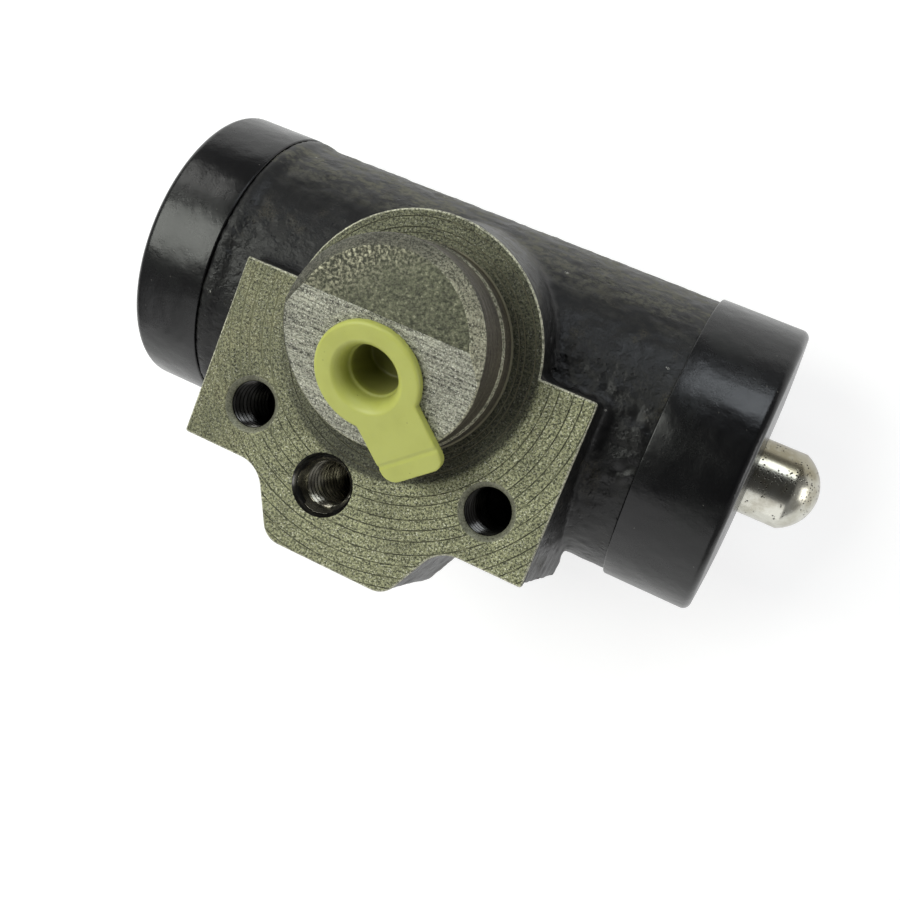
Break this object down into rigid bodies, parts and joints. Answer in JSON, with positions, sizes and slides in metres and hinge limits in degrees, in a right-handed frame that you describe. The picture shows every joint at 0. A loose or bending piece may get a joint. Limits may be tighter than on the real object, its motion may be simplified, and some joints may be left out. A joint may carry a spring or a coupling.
{
  "type": "wheel cylinder",
  "caption": "Double-acting hydraulic wheel cylinder: cast barrel with a machined mounting pad and spigot, rubber end boots, push rods and a plugged inlet port.",
  "frame": {"origin": "the spigot's axis at the mounting face", "axes": "+X along the bore towards the right push rod, +Z out of the mounting face, away from the bore"},
  "size_m": [0.1186, 0.0588, 0.0661],
  "materials": {
    "cast_iron": "matt",
    "rubber": "satin",
    "piston_alloy": "satin",
    "steel": "polished",
    "plug_plastic": "satin"
  },
  "bodies": {
    "casting": {"cylinder_body": "cast_iron", "right_boot": "rubber", "left_boot": "rubber", "return_spring": "steel"},
    "right_plunger": {"right_piston": "piston_alloy", "right_cup_seal": "rubber", "right_expander": "steel", "right_push_rod": "steel"},
    "left_plunger": {"left_piston": "piston_alloy", "left_cup_seal": "rubber", "left_expander": "steel", "left_push_rod": "steel"},
    "plug": {"inlet_plug": "plug_plastic"}
  },
  "joints": [
    {"name": "right_piston_slide", "type": "slide", "parent": "casting", "child": "right_plunger", "axis": [1, 0, 0], "range_m": [-0.003, 0.006], "deforming": ["return_spring"]},
    {"name": "left_piston_slide", "type": "slide", "parent": "casting", "child": "left_plunger", "axis": [-1, 0, 0], "range_m": [-0.003, 0.006], "deforming": ["return_spring"]},
    {"name": "plug_pull", "type": "slide", "parent": "casting", "child": "plug", "axis": [0, -0.4226, 0.9063], "range_m": [0, 0.04]}
  ]
}
